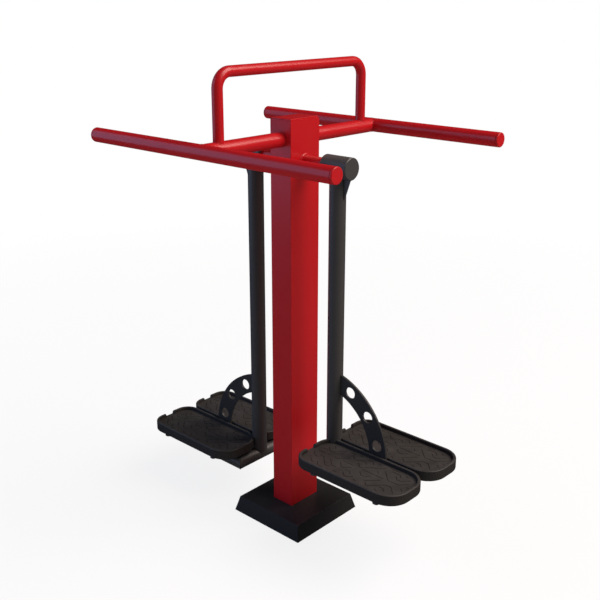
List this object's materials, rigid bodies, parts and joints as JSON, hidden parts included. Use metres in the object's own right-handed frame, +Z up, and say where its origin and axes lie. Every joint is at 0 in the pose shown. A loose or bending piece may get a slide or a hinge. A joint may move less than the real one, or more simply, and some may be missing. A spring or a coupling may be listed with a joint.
{
  "type": "outdoor double pendulum trainer",
  "caption": "Fixed post with a cross tube, two long hand bars and a hoop; on each side a pendulum leg with a pair of foot plates swings sideways on a bearing.",
  "frame": {"origin": "middle of the base plate's underside, on the ground, on the post's axis", "axes": "+X along the hand bars and the foot plates, to the station with the higher plates; +Y along the cross tube; +Z up"},
  "size_m": [1.036, 0.7496, 1.426],
  "materials": {
    "red_powder_coat": "smooth semi-gloss powder coat",
    "black_powder_coat": "satin powder coat",
    "black_moulding": "matt moulded",
    "red_cap_moulding": "satin moulded",
    "bright_steel": "ground bearing steel",
    "zinc_steel": "zinc plated",
    "seal_rubber": "matt"
  },
  "bodies": {
    "frame": {"axle": "red_powder_coat", "axle_collars": "bright_steel", "axle_nuts": "zinc_steel", "axle_root_rings": "red_powder_coat", "axle_washers": "zinc_steel", "bar_end_plugs": "red_cap_moulding", "base_cover": "black_moulding", "base_plate": "red_powder_coat", "base_ribs": "red_powder_coat", "bearing_inner_rings": "bright_steel", "bearing_spacers": "bright_steel", "cross_tube": "red_powder_coat", "handle_bar_front": "red_powder_coat", "handle_bar_rear": "red_powder_coat", "hoop": "red_powder_coat", "post": "red_powder_coat", "post_cap": "red_powder_coat", "stop_pins": "bright_steel"},
    "right_pendulum": {"bearing_balls_right": "bright_steel", "bearing_housing_right": "black_powder_coat", "bearing_outer_rings_right": "bright_steel", "carrier_rails_right": "black_powder_coat", "carrier_tube_right": "black_powder_coat", "circlip_right": "zinc_steel", "dust_seal_right": "seal_rubber", "foot_plate_front_right": "black_moulding", "foot_plate_rear_right": "black_moulding", "gusset_right": "black_powder_coat", "gusset_seat_right": "black_powder_coat", "housing_end_cap_right": "black_powder_coat", "housing_rib_right": "black_powder_coat", "leg_right": "black_powder_coat", "plate_bolts_right": "zinc_steel", "plate_inserts_right": "zinc_steel", "plate_straps_right": "black_powder_coat", "rail_plugs_right": "black_moulding", "strap_pads_right": "black_powder_coat"},
    "left_pendulum": {"bearing_balls_left": "bright_steel", "bearing_housing_left": "black_powder_coat", "bearing_outer_rings_left": "bright_steel", "carrier_rails_left": "black_powder_coat", "carrier_tube_left": "black_powder_coat", "circlip_left": "zinc_steel", "dust_seal_left": "seal_rubber", "foot_plate_front_left": "black_moulding", "foot_plate_rear_left": "black_moulding", "gusset_left": "black_powder_coat", "gusset_seat_left": "black_powder_coat", "housing_end_cap_left": "black_powder_coat", "housing_rib_left": "black_powder_coat", "leg_left": "black_powder_coat", "plate_bolts_left": "zinc_steel", "plate_inserts_left": "zinc_steel", "plate_straps_left": "black_powder_coat", "rail_plugs_left": "black_moulding", "strap_pads_left": "black_powder_coat"}
  },
  "joints": [
    {"name": "right_swing", "type": "hinge", "parent": "frame", "child": "right_pendulum", "pos_m": [0.1623, 0, 1.147], "axis": [1, 0, 0], "range_deg": [-35, 35]},
    {"name": "left_swing", "type": "hinge", "parent": "frame", "child": "left_pendulum", "pos_m": [-0.1623, 0, 1.147], "axis": [1, 0, 0], "range_deg": [-35, 35]}
  ]
}
